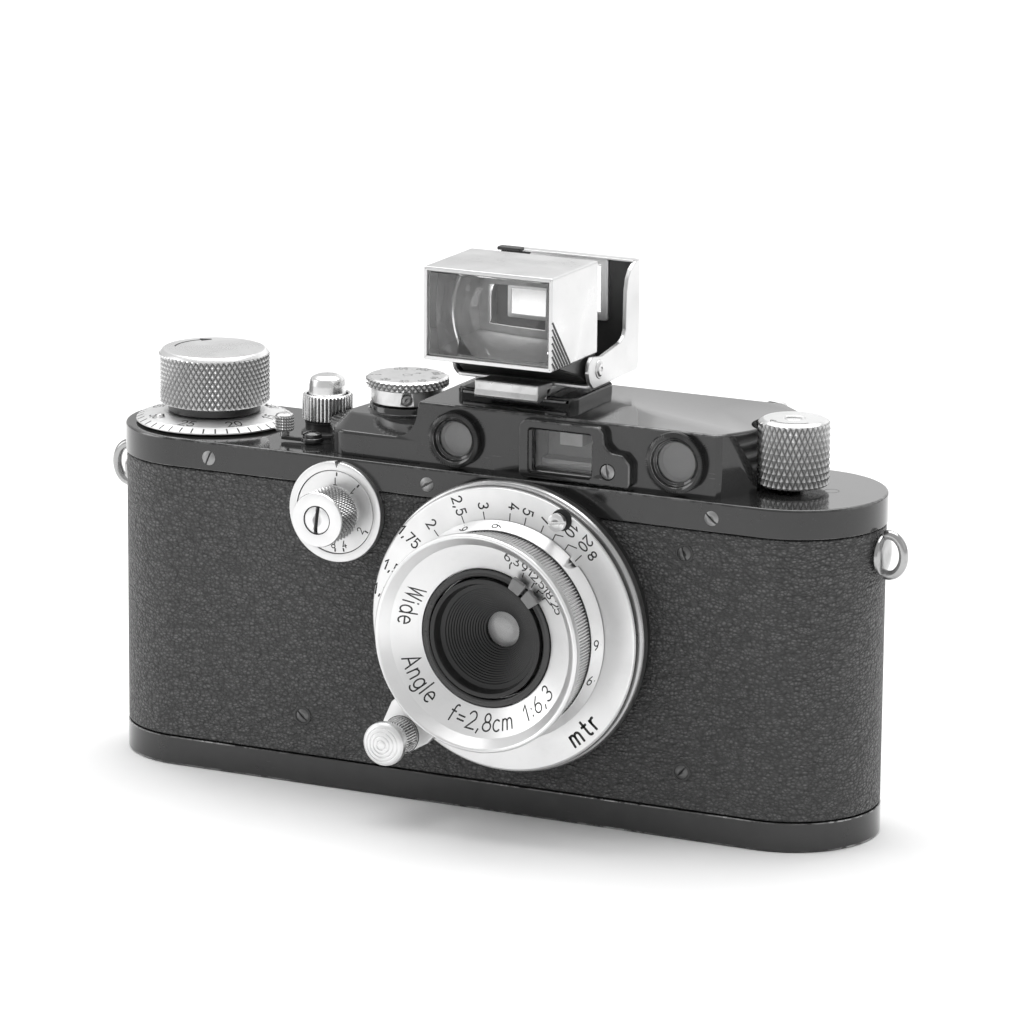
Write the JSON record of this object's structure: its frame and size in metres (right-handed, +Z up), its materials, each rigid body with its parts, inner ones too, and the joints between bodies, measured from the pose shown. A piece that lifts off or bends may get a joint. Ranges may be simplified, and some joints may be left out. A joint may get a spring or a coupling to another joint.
{
  "type": "rangefinder camera",
  "caption": "Black screw-mount 35 mm rangefinder camera with a flat wide-angle lens and a folding accessory finder in its shoe.",
  "frame": {"origin": "middle of the baseplate's underside", "axes": "+X along the body to the viewer's right from the front, -Y the way the lens looks, +Z up"},
  "size_m": [0.1418, 0.0459, 0.0884],
  "materials": {
    "black_paint": "glossy black enamel over brass, worn at edges",
    "black_leather": "pebbled black covering",
    "satin_chrome": "satin",
    "dark_steel": "plain",
    "lens_black": "matt black",
    "glass": "clear"
  },
  "bodies": {
    "camera_body": {"body_shell": "dark_steel", "leather_cover": "black_leather", "top_plate": "black_paint", "rangefinder_housing": "black_paint", "accessory_shoe": "black_paint", "viewfinder_bezel": "black_paint", "viewfinder_front_glass": "glass", "viewfinder_screw": "satin_chrome", "rangefinder_bezel_left": "black_paint", "rangefinder_glass_left": "glass", "rangefinder_bezel_right": "black_paint", "rangefinder_glass_right": "glass", "viewfinder_eyepiece": "black_paint", "rangefinder_eyepiece": "black_paint", "strap_lug_left": "satin_chrome", "strap_lug_right": "satin_chrome", "body_lens_flange": "black_paint", "shutter_crate": "dark_steel", "slow_dial_ring": "satin_chrome", "release_collar": "satin_chrome", "ar_lever_screw": "satin_chrome", "skirt_screw_left": "satin_chrome", "skirt_screw_middle": "satin_chrome", "skirt_screw_right": "satin_chrome", "body_screw_lower_left": "satin_chrome", "body_screw_lower_right": "satin_chrome", "body_screw_upper_right": "satin_chrome", "lens_mount_plate": "satin_chrome", "stop_screw": "satin_chrome"},
    "baseplate": {"baseplate": "black_paint", "tripod_bush": "dark_steel"},
    "lock_key": {"lock_key": "satin_chrome"},
    "lock_key_bow": {"lock_key_bow": "satin_chrome"},
    "wind_knob": {"wind_knob": "satin_chrome", "take_up_spool": "dark_steel"},
    "counter_dial": {"counter_dial": "satin_chrome"},
    "sprocket": {"sprocket_drum": "dark_steel"},
    "shutter_drum": {"shutter_drum": "dark_steel"},
    "speed_spindle": {"speed_spindle": "dark_steel"},
    "speed_dial": {"speed_dial": "satin_chrome", "speed_dial_set_screw": "satin_chrome"},
    "release_button": {"release_button": "satin_chrome"},
    "ar_lever": {"ar_lever": "satin_chrome"},
    "rewind_fork": {"rewind_fork": "dark_steel"},
    "rewind_knob": {"rewind_knob": "satin_chrome"},
    "slow_speed_dial": {"slow_speed_dial": "satin_chrome", "slow_dial_screw": "satin_chrome"},
    "focus_ring": {"focus_ring": "satin_chrome"},
    "lens_head": {"lens_barrel": "satin_chrome", "lens_inner_cone": "lens_black", "front_element": "glass", "rear_element": "glass"},
    "infinity_lock_knob": {"infinity_lock_knob": "satin_chrome"},
    "aperture_ring": {"aperture_ring": "lens_black"},
    "dioptre_lever": {"dioptre_lever": "black_paint"},
    "finder": {"finder_foot": "satin_chrome", "finder_rear_frame": "satin_chrome", "finder_rear_lens": "glass"},
    "finder_box": {"finder_front_box": "satin_chrome", "finder_front_lens": "glass"}
  },
  "joints": [
    {"name": "baseplate_off", "type": "slide", "parent": "camera_body", "child": "baseplate", "axis": [0, 0, -1], "range_m": [0, 0.03]},
    {"name": "lock_key_turn", "type": "hinge", "parent": "baseplate", "child": "lock_key", "pos_m": [0.0515, 0, 0], "axis": [0, 0, -1], "range_deg": [0, 180]},
    {"name": "lock_key_bow_fold", "type": "hinge", "parent": "lock_key", "child": "lock_key_bow", "pos_m": [0.0515, 0, 0.0003], "axis": [-1, 0, 0], "range_deg": [0, 90]},
    {"name": "wind_turn", "type": "hinge", "parent": "camera_body", "child": "wind_knob", "pos_m": [-0.052, 0, 0.06], "axis": [0, 0, -1], "continuous": true},
    {"name": "counter_turn", "type": "hinge", "parent": "camera_body", "child": "counter_dial", "pos_m": [-0.052, 0, 0.056], "axis": [0, 0, -1], "continuous": true},
    {"name": "sprocket_turn", "type": "hinge", "parent": "camera_body", "child": "sprocket", "pos_m": [-0.031, 0, 0.03], "axis": [0, 0, -1], "continuous": true},
    {"name": "shutter_drum_turn", "type": "hinge", "parent": "camera_body", "child": "shutter_drum", "pos_m": [-0.0164, 0, 0.03], "axis": [0, 0, -1], "continuous": true},
    {"name": "speed_dial_lift", "type": "slide", "parent": "shutter_drum", "child": "speed_spindle", "axis": [0, 0, 1], "range_m": [0, 0.002], "stiffness_N_per_m": 300, "springref_m": -0.001},
    {"name": "speed_dial_set", "type": "hinge", "parent": "speed_spindle", "child": "speed_dial", "pos_m": [-0.0164, 0, 0.065], "axis": [0, 0, 1], "range_deg": [-150, 150]},
    {"name": "release_press", "type": "slide", "parent": "camera_body", "child": "release_button", "axis": [0, 0, -1], "range_m": [0, 0.0025], "stiffness_N_per_m": 400, "springref_m": -0.001},
    {"name": "advance_rewind_lever_turn", "type": "hinge", "parent": "camera_body", "child": "ar_lever", "pos_m": [-0.0298, -0.0076, 0.056], "axis": [0, 0, 1], "range_deg": [0, 55]},
    {"name": "rewind_turn", "type": "hinge", "parent": "camera_body", "child": "rewind_fork", "pos_m": [0.0515, 0, 0.045], "axis": [0, 0, -1], "continuous": true},
    {"name": "rewind_knob_lift", "type": "slide", "parent": "rewind_fork", "child": "rewind_knob", "axis": [0, 0, 1], "range_m": [0, 0.005]},
    {"name": "slow_dial_turn", "type": "hinge", "parent": "camera_body", "child": "slow_speed_dial", "pos_m": [-0.0214, -0.0155, 0.04665], "axis": [0, -1, 0], "range_deg": [0, 220]},
    {"name": "focus_turn", "type": "hinge", "parent": "camera_body", "child": "focus_ring", "pos_m": [0.01087, -0.021, 0.0322], "axis": [0, -1, 0], "range_deg": [0, 137]},
    {"name": "lens_extend", "type": "slide", "parent": "focus_ring", "child": "lens_head", "axis": [0, -1, 0], "range_m": [0, 0.0009]},
    {"name": "infinity_lock_press", "type": "slide", "parent": "focus_ring", "child": "infinity_lock_knob", "axis": [0, 1, 0], "range_m": [0, 0.0012], "stiffness_N_per_m": 300, "springref_m": -0.0008},
    {"name": "aperture_turn", "type": "hinge", "parent": "lens_head", "child": "aperture_ring", "pos_m": [0.01087, -0.026, 0.0322], "axis": [0, -1, 0], "range_deg": [-12.5, 19.5]},
    {"name": "dioptre_turn", "type": "hinge", "parent": "camera_body", "child": "dioptre_lever", "pos_m": [0.0365, 0.014, 0.0602], "axis": [0, -1, 0], "range_deg": [0, 90]},
    {"name": "finder_slide_off", "type": "slide", "parent": "camera_body", "child": "finder", "axis": [0, 1, 0], "range_m": [0, 0.022]},
    {"name": "finder_fold", "type": "hinge", "parent": "finder", "child": "finder_box", "pos_m": [0.0057, 0, 0.0711], "axis": [-1, 0, 0], "range_deg": [0, 42]}
  ],
  "couplings": [
    {"joint": "counter_turn", "follows": "wind_turn", "ratio": 0.025},
    {"joint": "sprocket_turn", "follows": "wind_turn", "ratio": -1},
    {"joint": "shutter_drum_turn", "follows": "wind_turn", "ratio": 1},
    {"joint": "lens_extend", "follows": "focus_turn", "m_per_rad": 0.00033457}
  ]
}
